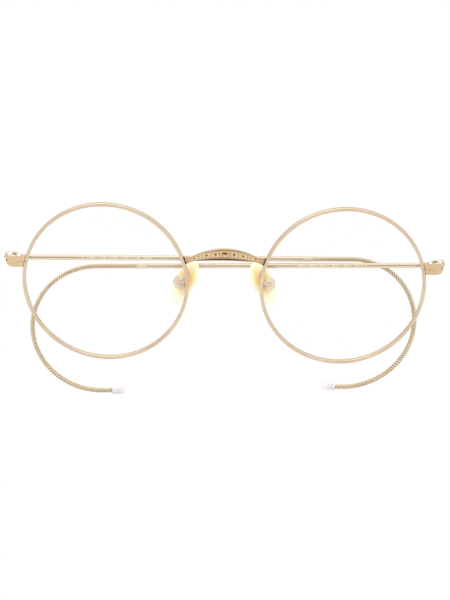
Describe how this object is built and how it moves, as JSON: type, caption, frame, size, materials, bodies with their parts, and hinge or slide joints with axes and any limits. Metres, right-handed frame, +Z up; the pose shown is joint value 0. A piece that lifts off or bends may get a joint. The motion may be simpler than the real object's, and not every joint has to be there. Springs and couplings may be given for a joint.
{
  "type": "eyeglasses frame",
  "caption": "Round gold wire spectacles with an engraved saddle bridge, amber nose pads, clear lenses and cable temples whose wound ear hooks fold behind the front.",
  "frame": {"origin": "on the nose bridge's middle plane, level with the lens centres and between them, where the nose carries the frame", "axes": "+Z up, -Y out of the front, +X towards the wearer's left"},
  "size_m": [0.1322, 0.0142, 0.0655],
  "materials": {
    "gold_plate": "polished champagne gold plate",
    "gold_matte": "satin champagne gold plate",
    "hinge_metal": "bright pale gold plate",
    "cable_gold": "drawn gold-plated wire, close wound",
    "spring_wire": "drawn spring wire",
    "screw_steel": "bright turned steel",
    "pad_amber": "translucent amber",
    "tip_clear": "milky clear",
    "lens_clear": "clear demonstration lens"
  },
  "bodies": {
    "front": {"bridge": "gold_plate", "left_rim": "gold_plate", "left_lens": "lens_clear", "left_end_piece": "gold_matte", "left_closing_block": "gold_matte", "left_hinge_front": "hinge_metal", "left_pad_arm": "gold_plate", "left_pad_box": "gold_plate", "right_rim": "gold_plate", "right_lens": "lens_clear", "right_end_piece": "gold_matte", "right_closing_block": "gold_matte", "right_hinge_front": "hinge_metal", "right_pad_arm": "gold_plate", "right_pad_box": "gold_plate", "closing_screws": "screw_steel", "hinge_screws": "screw_steel", "pad_screws": "screw_steel"},
    "left_temple": {"left_hinge_temple": "hinge_metal", "left_temple_bar": "gold_plate", "left_cable_core": "spring_wire", "left_cable_coil": "cable_gold", "left_temple_tip": "tip_clear"},
    "right_temple": {"right_hinge_temple": "hinge_metal", "right_temple_bar": "gold_plate", "right_cable_core": "spring_wire", "right_cable_coil": "cable_gold", "right_temple_tip": "tip_clear"},
    "left_nose_pad": {"left_nose_pad": "pad_amber", "left_pad_insert": "hinge_metal"},
    "right_nose_pad": {"right_nose_pad": "pad_amber", "right_pad_insert": "hinge_metal"}
  },
  "joints": [
    {"name": "left_temple_hinge", "type": "hinge", "parent": "front", "child": "left_temple", "pos_m": [0.0643, 0.0042, 0.0052], "axis": [0, 0, -1], "range_deg": [0, 90]},
    {"name": "right_temple_hinge", "type": "hinge", "parent": "front", "child": "right_temple", "pos_m": [-0.0643, 0.0042, 0.0052], "axis": [0, 0, 1], "range_deg": [0, 90]},
    {"name": "left_pad_rock", "type": "hinge", "parent": "front", "child": "left_nose_pad", "pos_m": [0.0131, 0.00199, -0.00052], "axis": [-0.6355, -0.7071, -0.31], "range_deg": [-8, 8]},
    {"name": "right_pad_rock", "type": "hinge", "parent": "front", "child": "right_nose_pad", "pos_m": [-0.0131, 0.00199, -0.00052], "axis": [-0.6355, 0.7071, 0.31], "range_deg": [-8, 8]}
  ]
}
